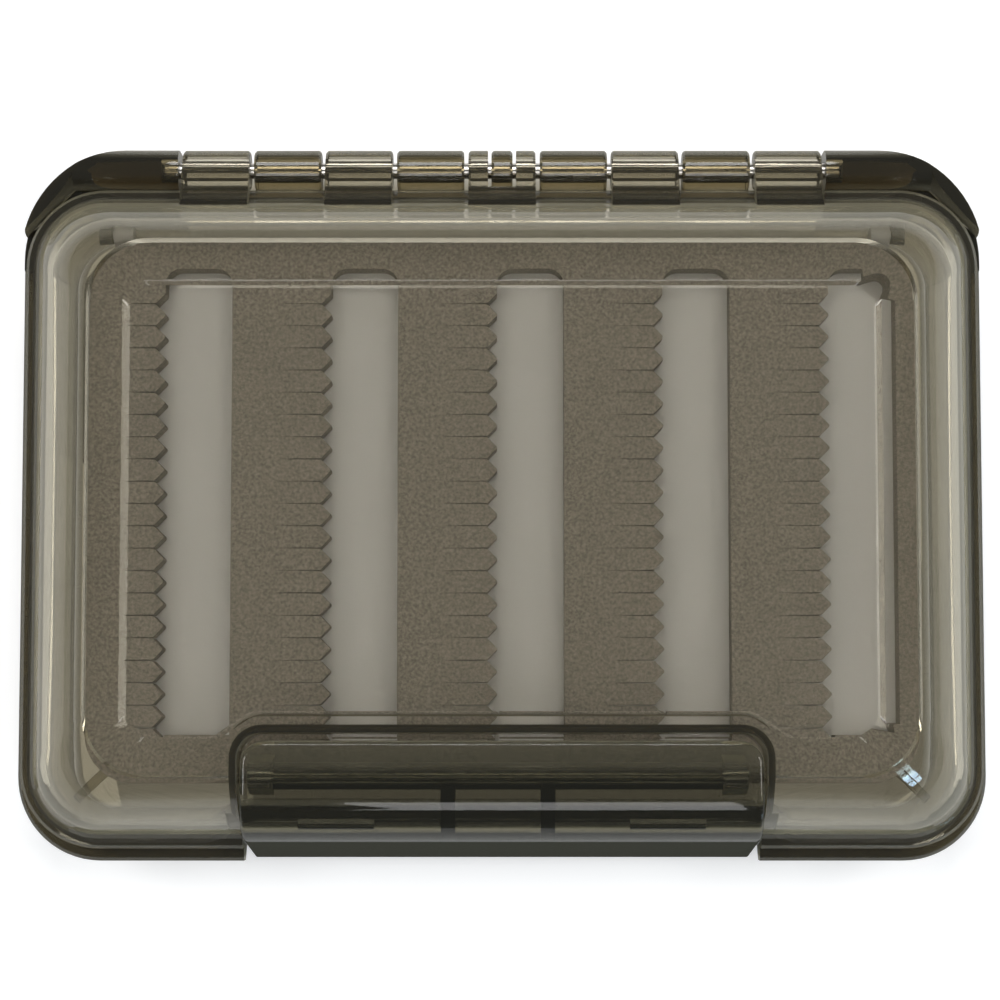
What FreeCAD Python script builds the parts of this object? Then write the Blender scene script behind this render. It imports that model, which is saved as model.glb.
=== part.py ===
import FreeCAD, Part
import math
import os
from FreeCAD import Vector

# Fly box in millimetres: X across, Y towards the hinge, Z up, origin under the middle of the base

# Case outline and levels
case_half_width = 75.1
case_front = 55.6
case_rear = 55.6
case_front_radius = 13.0
case_rear_radius = 17.5
base_top = 22.9
lid_height = 16.6
seam_gap = 0.5
wall = 2.0
overrun = 1.0
clearance = 0.35
running_clearance = 0.05
seat_gap = 0.3

# Base walls
floor_thickness = 1.8
flange_height = 3.3
flange_overhang = 2.0
base_draft = 1.6
bottom_chamfer = 1.9
edge_break = 0.5
slot_radius = 1.6

# Lid rim and dome
rim_inset = 0.7
rim_front_inset = 2.0
rim_height = 2.4
rim_radius = 12.3
shoulder_start = 2.2
shoulder_side_margin = 12.3
shoulder_front_margin = 13.0
shoulder_rear_margin = 13.6
shoulder_radius = 9.5
shoulder_angle_low = 20.0
shoulder_angle_high = 70.0
outer_shoulder_steps = 6
inner_shoulder_steps = 4
foot_flare = 0.7

# Sunk panel in the lid's top
panel_side_margin = 5.9
panel_front_margin = 5.7
panel_rear_margin = 6.8
panel_radius = 3.3
panel_depth = 0.4
panel_slope = 0.4
panel_bay_margin = 1.1
panel_bay_depth = 3.9
panel_bay_run = 2.9
panel_bay_radius = 3.2
bay_shift_share = 0.4
top_thickness = 1.8

# Latch pocket in the lid and slot in the front
latch_side_gap = 0.7
pocket_side_gap = 0.5
pocket_rear_gap = 1.3
pocket_wall = 1.2
pocket_radius = 3.8
pocket_depth = 10.4
pocket_foot_radius = 2.4
pocket_foot_steps = 3
slot_depth = 5.0
slot_bottom = 8.5

# Seal
gasket_width = 1.5
gasket_depth = 1.2
gasket_proud = 0.2
seal_inset = 1.6
seal_jog_run = 3.0
seal_jog_radius = 2.4
groove_side_gap = 0.05
groove_wall = 0.85

# Hinge
hinge_margin = 0.05
pin_radius = 1.25
pin_end_margin = 21.6
knuckle_radius = 3.15
knuckle_width = 10.5
lid_knuckles = 5
arm_thickness = 2.8
arm_reach = 5.7
arm_rise = 3.1
arm_root = 4.5
arm_tangent_angle = 20.0
centre_knuckle_width = 3.3
centre_notch_width = 4.4
knuckle_edge = 0.35
wing_width = 24.35
wing_height = 9.6
wing_taper = 7.5
ledge_height = 3.6
ledge_reach = 0.4
ledge_thickness = 1.8
envelope_steps = 2

# Latch flap
latch_end_margin = 35.9
latch_pivot_margin = 8.3
latch_pivot_drop = 4.6
latch_top_depth = 13.5
latch_rear_drop = 0.7
latch_bend_margin = 10.6
latch_bend_drop = 0.3
latch_bend_radius = 7.2
latch_face_angle = 80.8
latch_foot_rise = 3.6
latch_wall = 2.0
latch_corner_radius = 3.5
latch_edge_radius = 0.7
latch_barrel_radius = 2.0
latch_rib_offset = -0.6
latch_rib_spread = 7.5
latch_rib_width = 2.2
latch_rib_depth = 0.6
latch_rib_foot = 5.6
latch_lip_height = 1.7
latch_lip_depth = 1.3
latch_core_margin = 8.6
latch_core_length = 11.4
latch_core_height = 2.0
latch_core_depth = 1.2
latch_core_drop = 3.2
lug_margin = 3.4
lug_width = 3.6
lug_radius = 1.9
lug_root = 3.2
keeper_end_margin = 9.2
keeper_radius = 1.3
keeper_rise = 3.5

# Swing leaf
leaf_side_margin = 10.7
leaf_front_margin = 12.0
leaf_axis_margin = 9.0
leaf_axis_drop = 1.7
leaf_axis_rise = 3.0
leaf_rear_gap = 2.8
leaf_plate_thickness = 1.6
leaf_corner_radius = 8.5
leaf_front_corner_radius = 7.5
leaf_eye_radius = 1.9
leaf_eye_margin = 6.4
leaf_eye_width = 3.2
leaf_trunnion_radius = 1.0
ear_width = 2.2
ear_radius = 2.1
ear_drop = 9.2
rest_lip = 1.2
rest_depth = 6.5
rest_width = 1.6

# Foam
foam_thickness = 4.6
adhesive_thickness = 0.2
adhesive_inset = 0.8
window_count = 5
window_left_margin = 16.65
window_right_margin = 8.55
window_front_margin = 7.4
window_rear_margin = 4.1
window_radius = 1.1
window_rear_radius = 2.5
window_width_share = 0.4325
tooth_count = 20
tooth_rear_margin = 5.5
tooth_front_margin = 1.08
tooth_depth = 1.5

# Sizes that follow from those above: case and lid
lid_bottom = base_top + seam_gap
lid_top = lid_bottom + lid_height
rim_top = lid_bottom + rim_height
flange_bottom = base_top - flange_height
hinge_y = case_rear - knuckle_radius - hinge_margin
hinge_z = lid_bottom
rim_half_width = case_half_width - rim_inset
rim_front = case_front - rim_front_inset
rim_rear = hinge_y - knuckle_radius - clearance
shoulder_half_width = case_half_width - shoulder_side_margin
shoulder_front = case_front - shoulder_front_margin
shoulder_rear = hinge_y - shoulder_rear_margin
panel_half_width = shoulder_half_width - panel_side_margin
panel_front = shoulder_front - panel_front_margin
panel_rear = shoulder_rear - panel_rear_margin
tolerance = running_clearance / 10

# Sizes that follow: hinge
pin_half_length = case_half_width - pin_end_margin
wing_inner_x = case_half_width - wing_width
knuckle_pitch = (wing_inner_x - 2 * clearance - knuckle_width / 2) * 2 / (lid_knuckles - 1)
arm_seat_y = hinge_y - arm_reach
arm_seat_z = hinge_z + arm_rise

# Sizes that follow: latch
latch_half_width = case_half_width - latch_end_margin
slot_half_width = latch_half_width + latch_side_gap
slot_front = case_front - slot_depth
pocket_half_width = latch_half_width + pocket_side_gap
pocket_floor = lid_top - pocket_depth
panel_bay_half_width = latch_half_width + panel_bay_margin
latch_pivot_y = slot_front - latch_pivot_margin
latch_pivot_z = lid_top - latch_pivot_drop
latch_rear = slot_front - latch_top_depth
latch_rear_z = lid_top - latch_rear_drop
latch_bend_y = case_front - latch_bend_margin
latch_bend_z = lid_top - latch_bend_drop
latch_foot_z = slot_bottom + latch_foot_rise
latch_core_x = latch_half_width - latch_core_margin - latch_core_length / 2
lug_half_spread = latch_half_width - lug_margin
keeper_half_length = latch_half_width - keeper_end_margin
keeper_z = latch_foot_z + keeper_rise
pocket_rear = latch_rear - pocket_rear_gap

# Sizes that follow: leaf and foam
leaf_half_width = case_half_width - leaf_side_margin
leaf_front = case_front - leaf_front_margin
leaf_axis_y = hinge_y - leaf_axis_margin
leaf_axis_z = base_top - leaf_axis_drop
leaf_plate_bottom = leaf_axis_z - leaf_axis_rise
leaf_rear = leaf_axis_y - leaf_rear_gap
leaf_eye_x = leaf_half_width - leaf_eye_margin
ear_bottom = leaf_axis_z - ear_drop
window_first_x = window_left_margin - leaf_half_width
window_pitch = (2 * leaf_half_width - window_left_margin - window_right_margin) / (window_count - 1)
window_width = window_pitch * window_width_share
window_front = leaf_front - window_front_margin
window_rear = leaf_rear - window_rear_margin
tooth_first_y = window_rear - tooth_rear_margin
tooth_pitch = (window_front + tooth_first_y - tooth_front_margin) / (tooth_count - 1)


def unit(vector):
    return vector * (1 / vector.Length)


def rounded_wire(corners, z):
    """Closed wire through corners (x, y, radius): straight runs with an arc at each corner."""
    arcs = []
    count = len(corners)
    for index, (x, y, radius) in enumerate(corners):
        here = Vector(x, y, z)
        before = corners[index - 1]
        after = corners[(index + 1) % count]
        to_before = unit(Vector(before[0], before[1], z) - here)
        to_after = unit(Vector(after[0], after[1], z) - here)
        half_angle = to_before.getAngle(to_after) / 2
        tangent = radius / math.tan(half_angle)
        bisector = unit(to_before + to_after)
        middle = here + bisector * (radius / math.sin(half_angle) - radius)
        arcs.append((here + to_before * tangent, middle, here + to_after * tangent))
    edges = []
    for index, (start, middle, end) in enumerate(arcs):
        edges.append(Part.Arc(start, middle, end).toShape())
        next_start = arcs[(index + 1) % count][0]
        if (next_start - end).Length > tolerance:
            edges.append(Part.LineSegment(end, next_start).toShape())
    return Part.Wire(edges)


def box_corners(half_width, front, rear, front_radius, rear_radius):
    return [
        (-half_width, -front, front_radius),
        (half_width, -front, front_radius),
        (half_width, rear, rear_radius),
        (-half_width, rear, rear_radius),
    ]


def jogged_corners(half_width, front, rear, front_radius, rear_radius, jog, jog_half, jog_run, jog_radius):
    """A rounded box whose front edge steps back by jog between the two S bends."""
    return [
        (-half_width, -front, front_radius),
        (-jog_half - jog_run, -front, jog_radius),
        (-jog_half, -front + jog, jog_radius),
        (jog_half, -front + jog, jog_radius),
        (jog_half + jog_run, -front, jog_radius),
        (half_width, -front, front_radius),
        (half_width, rear, rear_radius),
        (-half_width, rear, rear_radius),
    ]


def case_corners(inset):
    return box_corners(
        case_half_width - inset,
        case_front - inset,
        case_rear - inset,
        case_front_radius - inset,
        case_rear_radius - inset,
    )


def rim_corners(inset):
    return box_corners(
        rim_half_width - inset,
        rim_front - inset,
        rim_rear - inset,
        rim_radius - inset,
        rim_radius - inset,
    )


def seal_corners():
    """Middle line of the gasket, stepped back behind the latch."""
    jog = rim_front - seal_inset - (slot_front - seal_inset)
    return jogged_corners(
        rim_half_width - seal_inset,
        rim_front - seal_inset,
        rim_rear - seal_inset,
        rim_radius - seal_inset,
        rim_radius - seal_inset,
        jog,
        slot_half_width + seal_inset,
        seal_jog_run,
        seal_jog_radius,
    )


def prism(wire, height):
    return Part.Face(wire).extrude(Vector(0, 0, height))


def block(x_low, x_high, y_low, y_high, z_low, z_high):
    return Part.makeBox(x_high - x_low, y_high - y_low, z_high - z_low, Vector(x_low, y_low, z_low))


def rod(x_low, x_high, y, z, radius):
    return Part.makeCylinder(radius, x_high - x_low, Vector(x_low, y, z), Vector(1, 0, 0))


def softened(bar, size):
    """A round bar with its two end edges chamfered."""
    ends = [edge for edge in bar.Edges if edge.BoundBox.XLength < tolerance]
    return bar.makeChamfer(size, ends)


def side_profile(points, x_low, x_high):
    """Prism along X of a closed outline given as (y, z) points."""
    vectors = [Vector(x_low, y, z) for y, z in points]
    face = Part.Face(Part.makePolygon(vectors + vectors[:1]))
    return face.extrude(Vector(x_high - x_low, 0, 0))


def ring_around(wire, width, z_height):
    """Solid ring of the given width centred on a closed wire."""
    outer = Part.Face(wire.makeOffset2D(width / 2))
    inner = Part.Face(wire.makeOffset2D(-width / 2))
    return outer.cut(inner).extrude(Vector(0, 0, z_height))


def fuse_all(shapes):
    return shapes[0].multiFuse(shapes[1:]).removeSplitter()


def solid_of(shape):
    """The one solid of a shape, or the shape itself when it holds several."""
    if len(shape.Solids) == 1:
        return shape.Solids[0]
    return shape


def touches(shape, point):
    return shape.distToShape(Part.Vertex(point))[0] < tolerance


def border_edges(faces):
    """Edges that only one of the faces has."""
    edges = [edge for face in faces for edge in face.Edges]
    return [edge for edge in edges if sum(edge.isSame(other) for other in edges) == 1]


def level_edges(shape, z):
    """Edges that lie in one level plane."""
    boxes = [(edge, edge.BoundBox) for edge in shape.Edges]
    return [edge for edge, box in boxes if max(abs(box.ZMin - z), abs(box.ZMax - z)) < tolerance]


def inner_wire(z):
    """Inside edge of the base walls, one groove wall inside the gasket."""
    seal = rounded_wire(seal_corners(), z)
    return seal.makeOffset2D(-(gasket_width / 2 + groove_side_gap + groove_wall))


def lid_knuckle_centres():
    first = -(lid_knuckles - 1) / 2
    return [(first + index) * knuckle_pitch for index in range(lid_knuckles)]


def base_knuckle_centres():
    first = -(lid_knuckles - 2) / 2
    return [(first + index) * knuckle_pitch for index in range(lid_knuckles - 1)]


def round_barrel(x_centre, width):
    """Hinge barrel with softened ends."""
    barrel = rod(x_centre - width / 2, x_centre + width / 2, hinge_y, hinge_z, knuckle_radius)
    return softened(barrel, knuckle_edge)


def lid_envelope():
    """Space round the hinge axis that the turning lid rim never enters."""
    corner_y = rim_rear - rim_radius
    corner_x = rim_half_width - rim_radius
    reach = rim_radius + clearance - running_clearance
    half_step = math.pi / 4 / envelope_steps
    points = [(corner_x + reach, hinge_y)]
    for step in range(envelope_steps):
        angle = (2 * step + 1) * half_step
        far = reach / math.cos(half_step)
        points.append((corner_x + far * math.cos(angle), corner_y + far * math.sin(angle)))
    outline = points + [(-x, y) for x, y in reversed(points)]
    vectors = [Vector(x, y, hinge_z) for x, y in outline]
    profile = Part.Face(Part.makePolygon(vectors + vectors[:1]))
    return profile.revolve(Vector(0, hinge_y, hinge_z), Vector(1, 0, 0), 360)


def wing_slope(low):
    """Case outline above the level low, and below it a slope back to the base's own outline."""
    foot = low - wing_taper
    foot_inset = flange_overhang + base_draft * (1 - foot / flange_bottom)
    wires = [rounded_wire(body_corners(foot_inset), foot), rounded_wire(case_corners(0), low)]
    slope = Part.makeLoft(wires, True, True)
    above = prism(rounded_wire(case_corners(0), low), base_top - low)
    rear_half = block(wing_inner_x, case_half_width, rim_rear - rim_radius, case_rear, foot, base_top)
    shell_inside = prism(rounded_wire(rim_corners(flange_overhang + base_draft), 0), lid_top)
    return slope.fuse(above).common(rear_half).cut(shell_inside)


def wing_crescent():
    """Part of a wing beside the lid's rim, rounded so that the turning lid clears it."""
    low = base_top - clearance
    high = hinge_z + knuckle_radius
    crescent = prism(rounded_wire(case_corners(0), low), high - low)
    inside = prism(rounded_wire(rim_corners(-clearance), low - overrun), high - low + 2 * overrun)
    beside = block(wing_inner_x, case_half_width, 0, case_rear, low, high)
    return crescent.cut(inside).common(beside).common(lid_envelope())


def hinge_wings():
    """Thick rear corners of the base that carry the ends of the pin."""
    low = flange_bottom - wing_height + flange_height + knuckle_radius
    wing = fuse_all([wing_crescent(), wing_slope(low)])
    return [wing, wing.mirror(Vector(0, 0, 0), Vector(1, 0, 0))]


def base_shell():
    low_body = rounded_wire(body_corners(flange_overhang + base_draft), 0)
    high_body = rounded_wire(body_corners(flange_overhang), flange_bottom)
    body = Part.makeLoft([low_body, high_body], True, True)
    body = body.makeChamfer(bottom_chamfer, level_edges(body, 0))
    taper = Part.makeLoft(
        [
            rounded_wire(body_corners(flange_overhang), flange_bottom - flange_overhang),
            rounded_wire(body_corners(0), flange_bottom),
        ],
        True,
        True,
    )
    flange = prism(rounded_wire(body_corners(0), flange_bottom), flange_height)
    flange = flange.makeChamfer(edge_break, level_edges(flange, base_top))
    outside = fuse_all([body, taper, flange])
    slot = block(
        -slot_half_width,
        slot_half_width,
        -case_front - overrun,
        -slot_front,
        slot_bottom,
        base_top + overrun,
    )
    foot_edges = [edge for edge in level_edges(slot, slot_bottom) if edge.BoundBox.YMin > -case_front]
    slot = slot.makeFillet(slot_radius, foot_edges)
    shell = outside.cut(slot)
    additions = [rear_ledge(), keeper_bead()] + hinge_wings() + base_hinge_arms()
    shell = fuse_all([shell] + additions)
    cavity = prism(inner_wire(floor_thickness), base_top)
    shell = shell.cut(cavity)
    shell = fuse_all([shell] + leaf_ears() + leaf_rests(outside))
    groove_bottom = base_top + gasket_proud - gasket_depth
    groove = ring_around(
        rounded_wire(seal_corners(), groove_bottom),
        gasket_width + 2 * groove_side_gap,
        gasket_depth + overrun,
    )
    bore = hinge_bore()
    trunnion_spans = mirrored_span(ear_inner_x() - overrun, ear_inner_x() + ear_width + overrun)
    trunnion_holes = [
        rod(low, high, leaf_axis_y, leaf_axis_z, leaf_trunnion_radius + running_clearance)
        for low, high in trunnion_spans
    ]
    for cutter in [groove, bore] + trunnion_holes:
        shell = shell.cut(cutter)
    return shell


def body_corners(inset):
    """Plan of the base body: like the case, but its rear edge stops under the lid's rear edge."""
    return box_corners(
        case_half_width - inset,
        case_front - inset,
        rim_rear - inset / 2,
        case_front_radius - inset,
        rim_radius + rim_inset - inset,
    )


def mirrored_span(low, high):
    return [(low, high), (-high, -low)]


def keeper_bead():
    bead = rod(-keeper_half_length, keeper_half_length, -slot_front, keeper_z, keeper_radius)
    return softened(bead, keeper_radius / 2)


def base_hinge_arms():
    """Base knuckles on short arms that grow out of the rear wall."""
    parts = []
    spans = [(centre, knuckle_width) for centre in base_knuckle_centres()] + [(0, centre_knuckle_width)]
    for centre, width in spans:
        parts.append(round_barrel(centre, width))
        reach = hinge_y - knuckle_radius / 2
        points = [
            (rim_rear - wall, base_top),
            (hinge_y, base_top),
            (hinge_y + knuckle_radius * math.sin(math.radians(arm_tangent_angle)),
             hinge_z - knuckle_radius * math.cos(math.radians(arm_tangent_angle))),
            (reach, hinge_z - knuckle_radius),
            (rim_rear - wall, flange_bottom - ledge_height),
        ]
        parts.append(side_profile(points, centre - width / 2, centre + width / 2))
    return parts


def rear_ledge():
    """Shelf on the rear wall below the knuckles, from wing to wing."""
    top = hinge_z - knuckle_radius - clearance
    points = [
        (rim_rear - wall, top),
        (hinge_y - ledge_reach, top),
        (hinge_y - ledge_reach, top - ledge_thickness / 2),
        (rim_rear - wall, top - 2 * ledge_thickness),
    ]
    return side_profile(points, -wing_inner_x, wing_inner_x)


def hinge_bore():
    return rod(-pin_half_length, pin_half_length, hinge_y, hinge_z, pin_radius + running_clearance)


def ear_inner_x():
    return leaf_eye_x + leaf_eye_width + seat_gap


def leaf_ears():
    """Ears inside the rear wall that take the leaf's trunnions."""
    ears = []
    wall_y = rim_rear - seal_inset
    for low, high in mirrored_span(ear_inner_x(), ear_inner_x() + ear_width):
        eye = rod(low, high, leaf_axis_y, leaf_axis_z, ear_radius)
        web = block(low, high, leaf_axis_y, wall_y, ear_bottom, leaf_axis_z + ear_radius - edge_break)
        brace = side_profile(
            [
                (leaf_axis_y - ear_radius, leaf_axis_z),
                (leaf_axis_y, leaf_axis_z),
                (leaf_axis_y, ear_bottom),
            ],
            low,
            high,
        )
        beyond = block(low, high, wall_y, case_rear, 0, lid_top)
        ears.append(fuse_all([eye, web, brace]).cut(beyond))
    return ears


def leaf_rests(outside):
    """Diagonal ribs in the base's front corners, under the rounded corners of the leaf."""
    top = leaf_plate_bottom - adhesive_thickness - foam_thickness - seat_gap
    inner = leaf_front_corner_radius - rest_lip
    outer = 2 * leaf_front
    points = [(inner, top), (outer, top), (outer, top - rest_depth), (inner, top - rest_lip)]
    rib = side_profile(points, -rest_width / 2, rest_width / 2)
    rests = []
    for side in (-1, 1):
        rest = rib.copy()
        rest.rotate(Vector(0, 0, 0), Vector(0, 0, 1), -135 * side)
        rest.translate(
            Vector(
                side * (leaf_half_width - leaf_front_corner_radius),
                leaf_front_corner_radius - leaf_front,
                0,
            )
        )
        rests.append(rest.common(outside))
    return rests


def shoulder_tilt(angle):
    """Slope of the shoulder's side where its arc has reached the given angle."""
    low = math.radians(shoulder_angle_low)
    high = math.radians(shoulder_angle_high)
    rise = (lid_top - rim_top - foot_flare) * math.cos(angle) / (math.sin(high) - math.sin(low))
    run = (rim_rear - shoulder_start - shoulder_rear) * math.sin(angle) / (math.cos(low) - math.cos(high))
    return math.atan2(rise, run)


def shoulder_sections(inner):
    """Wires up the domed shoulder: an arc from the rim's foot to the crease round the top."""
    low = math.radians(shoulder_angle_low)
    high = math.radians(shoulder_angle_high)
    foot = rim_corners(shoulder_start)
    crease = box_corners(
        shoulder_half_width, shoulder_front, shoulder_rear, shoulder_radius, shoulder_radius
    )
    wires = []
    steps = inner_shoulder_steps
    if not inner:
        steps = outer_shoulder_steps
        wires.append(rounded_wire(rim_corners(shoulder_start - foot_flare), rim_top))
    dome_height = lid_top - rim_top - foot_flare
    for step in range(steps + 1):
        angle = low + (high - low) * step / steps
        inward_share = (math.cos(low) - math.cos(angle)) / (math.cos(low) - math.cos(high))
        rise_share = (math.sin(angle) - math.sin(low)) / (math.sin(high) - math.sin(low))
        z = rim_top + foot_flare + dome_height * rise_share
        offset = 0
        if inner:
            tilt = shoulder_tilt(angle)
            offset = wall * math.sin(tilt)
            z = z - wall * math.cos(tilt)
        corners = []
        for (x_foot, y_foot, r_foot), (x_crease, y_crease, r_crease) in zip(foot, crease):
            x = x_foot + (x_crease - x_foot) * inward_share
            y = y_foot + (y_crease - y_foot) * inward_share
            radius = r_foot + (r_crease - r_foot) * inward_share
            x = x - math.copysign(offset, x)
            y = y - math.copysign(offset, y)
            corners.append((x, y, radius - offset / 2))
        wires.append(rounded_wire(corners, z))
    return wires


def shoulder_dome(inner):
    return Part.makeLoft(shoulder_sections(inner), True, True)


def panel_corners(inset):
    return jogged_corners(
        panel_half_width - inset,
        panel_front - inset,
        panel_rear - inset,
        panel_radius,
        panel_radius,
        panel_bay_depth,
        panel_bay_half_width - panel_bay_run + inset * bay_shift_share,
        2 * panel_bay_run,
        panel_bay_radius,
    )


def pocket(grow):
    """Space for the latch in the lid, or the same space with the wall round it."""
    radius = pocket_foot_radius + grow
    wires = []
    for step in range(pocket_foot_steps + 1):
        angle = math.pi / 2 * step / pocket_foot_steps
        out = grow - radius * (1 - math.sin(angle))
        z = pocket_floor - grow + radius * (1 - math.cos(angle))
        corner = pocket_radius + out
        plan = box_corners(pocket_half_width + out, 2 * case_front, out - pocket_rear, corner, corner)
        wires.append(rounded_wire(plan, z))
    return Part.makeLoft(wires, True, True).fuse(prism(wires[-1], lid_top))


def lid_arm(centre):
    """Bridge from a knuckle over the rim to the shoulder, with the knuckle itself."""
    low = centre - knuckle_width / 2
    high = centre + knuckle_width / 2
    run = Vector(0, arm_seat_y - hinge_y, arm_seat_z - hinge_z)
    slope = math.atan2(run.z, -run.y)
    reach = run.Length
    lean = slope - math.asin((knuckle_radius - arm_thickness) / reach)
    outward = Vector(0, math.sin(lean), math.cos(lean))
    along = Vector(0, -math.cos(lean), math.sin(lean))
    axis = Vector(0, hinge_y, hinge_z)
    outer_start = axis + outward * knuckle_radius
    inner_start = axis + outward * (knuckle_radius - arm_thickness)
    length = reach * math.cos(slope - lean) + arm_root
    points = [
        (outer_start.y, outer_start.z),
        ((outer_start + along * length).y, (outer_start + along * length).z),
        ((inner_start + along * length).y, (inner_start + along * length).z),
        (inner_start.y, inner_start.z),
    ]
    return [round_barrel(centre, knuckle_width), side_profile(points, low, high)]


def latch_lugs():
    """Lugs on the pocket floor that hold the ends of the latch pin."""
    lugs = []
    for side in (-1, 1):
        centre = latch_rib_offset + side * lug_half_spread
        low = centre - lug_width / 2
        high = centre + lug_width / 2
        eye = rod(low, high, -latch_pivot_y, latch_pivot_z, lug_radius)
        points = [
            (-latch_pivot_y + lug_radius, latch_pivot_z),
            (-latch_pivot_y - lug_radius, latch_pivot_z),
            (-latch_pivot_y - lug_root, pocket_floor - wall / 2),
            (-latch_pivot_y + lug_root, pocket_floor - wall / 2),
        ]
        lugs.append(fuse_all([eye, side_profile(points, low, high)]))
    return lugs


def lid_shell():
    rim = prism(rounded_wire(rim_corners(0), lid_bottom), rim_height)
    rim = rim.makeChamfer(edge_break, level_edges(rim, rim_top))
    outside = fuse_all([rim, shoulder_dome(False)])
    slot = block(
        -slot_half_width,
        slot_half_width,
        -case_front - overrun,
        -slot_front,
        0,
        lid_top + overrun,
    )
    outside = outside.cut(pocket(0)).cut(slot)
    panel_cut = Part.makeLoft(
        [
            rounded_wire(panel_corners(panel_slope), lid_top - panel_depth),
            rounded_wire(panel_corners(-panel_slope), lid_top),
        ],
        True,
        True,
    )
    panel_cut = panel_cut.fuse(prism(rounded_wire(panel_corners(-panel_slope), lid_top), overrun))
    outside = outside.cut(panel_cut)
    ceiling = lid_top - panel_depth - top_thickness
    dome = shoulder_dome(True)
    dome_foot = rounded_wire(inner_foot_corners(), lid_bottom - overrun)
    foot = prism(dome_foot, dome.BoundBox.ZMin - lid_bottom + overrun + running_clearance)
    above_ceiling = block(-case_half_width, case_half_width, -case_front, case_rear, ceiling, lid_top)
    behind_slot = block(
        -slot_half_width - wall,
        slot_half_width + wall,
        -case_front,
        -slot_front + wall + seal_inset,
        0,
        lid_top,
    )
    cavity = fuse_all([dome, foot]).cut(above_ceiling).cut(pocket(pocket_wall)).cut(behind_slot)
    shell = outside.cut(cavity)
    arms = []
    for centre in lid_knuckle_centres():
        arms = arms + lid_arm(centre)
    shell = fuse_all([shell] + arms + latch_lugs())
    shell = shell.cut(cavity)
    notch = block(
        -centre_notch_width / 2,
        centre_notch_width / 2,
        hinge_y - knuckle_radius - clearance + tolerance,
        case_rear,
        0,
        lid_top,
    )
    shell = shell.cut(notch)
    shell = shell.cut(hinge_bore())
    pin_bore = rod(-slot_half_width, slot_half_width, -latch_pivot_y, latch_pivot_z, latch_pin_hole())
    return shell.cut(pin_bore)


def inner_foot_corners():
    offset = wall * math.sin(shoulder_tilt(math.radians(shoulder_angle_low)))
    corners = []
    for x, y, radius in rim_corners(shoulder_start):
        corners.append((x - math.copysign(offset, x), y - math.copysign(offset, y), radius - offset / 2))
    return corners


def latch_pin_hole():
    return pin_radius + running_clearance


def hinge_pin():
    pin = rod(-pin_half_length + seat_gap, pin_half_length - seat_gap, hinge_y, hinge_z, pin_radius)
    return softened(pin, pin_radius / 4)


def latch_pin():
    reach = lug_half_spread + lug_width / 2
    low = latch_rib_offset - reach
    high = latch_rib_offset + reach
    return softened(rod(low, high, -latch_pivot_y, latch_pivot_z, pin_radius), pin_radius / 4)


def gasket():
    bottom = base_top + gasket_proud - gasket_depth
    ring = ring_around(rounded_wire(seal_corners(), bottom), gasket_width, gasket_depth)
    return ring


def latch_side_outline(inset):
    """Closed (y, z) outline of the flap: flat top, one bend, long leaning face."""
    angle = math.radians(latch_face_angle)
    radius = latch_bend_radius - inset
    centre = Vector(0, -latch_bend_y, latch_bend_z - latch_bend_radius)
    bend_end = centre + Vector(0, -math.sin(angle), math.cos(angle)) * radius
    bend_middle = centre + Vector(0, -math.sin(angle / 2), math.cos(angle / 2)) * radius
    bend_start = centre + Vector(0, 0, radius)
    face_drop = latch_bend_z - latch_bend_radius * (1 - math.cos(angle)) - latch_foot_z
    face_length = face_drop / math.sin(angle)
    face_end = bend_end + Vector(0, -math.cos(angle), -math.sin(angle)) * face_length
    rear = Vector(0, -latch_rear, latch_rear_z - inset)
    return rear, bend_start, bend_middle, bend_end, face_end


def latch_flap():
    outer = latch_side_outline(0)
    inner = latch_side_outline(latch_wall)
    edges = [
        Part.makeLine(outer[0], outer[1]),
        Part.Arc(outer[1], outer[2], outer[3]).toShape(),
        Part.makeLine(outer[3], outer[4]),
        Part.makeLine(outer[4], inner[4]),
        Part.makeLine(inner[4], inner[3]),
        Part.Arc(inner[3], inner[2], inner[1]).toShape(),
        Part.makeLine(inner[1], inner[0]),
        Part.makeLine(inner[0], outer[0]),
    ]
    face = Part.Face(Part.Wire(edges))
    face.translate(Vector(-latch_half_width, 0, 0))
    flap = face.extrude(Vector(2 * latch_half_width, 0, 0))
    corner = latch_corner_radius
    plan = box_corners(latch_half_width, 2 * case_front, -latch_rear, corner, corner)
    flap = flap.common(prism(rounded_wire(plan, 0), lid_top))
    flap = round_latch_edges(flap)
    barrel = rod(
        latch_rib_offset - lug_half_spread + lug_width / 2 + clearance,
        latch_rib_offset + lug_half_spread - lug_width / 2 - clearance,
        -latch_pivot_y,
        latch_pivot_z,
        latch_barrel_radius,
    )
    web = block(
        barrel.BoundBox.XMin,
        barrel.BoundBox.XMax,
        -latch_pivot_y - latch_barrel_radius,
        -latch_pivot_y + latch_barrel_radius / 2,
        latch_pivot_z,
        latch_rear_z - latch_wall / 2,
    )
    parts = [flap, barrel, web, latch_lip(inner)]
    for side in (-1, 1):
        centre = latch_rib_offset + side * latch_rib_spread
        parts.append(latch_rib(centre, inner))
    flap = fuse_all(parts)
    for side in (-1, 1):
        flap = flap.cut(latch_core(side * latch_core_x, inner))
    hole = rod(-latch_half_width, latch_half_width, -latch_pivot_y, latch_pivot_z, latch_pin_hole())
    return flap.cut(hole)


def round_latch_edges(flap):
    """Soften the edge that runs round the flap's outer skin."""
    rear, bend_start, bend_middle, bend_end, face_end = latch_side_outline(0)
    marks = [(rear + bend_start) * (1 / 2), bend_middle, (bend_end + face_end) * (1 / 2)]
    skin = [face for face in flap.Faces for mark in marks if touches(face, mark)]
    return flap.makeFillet(latch_edge_radius, border_edges(skin))


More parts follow.
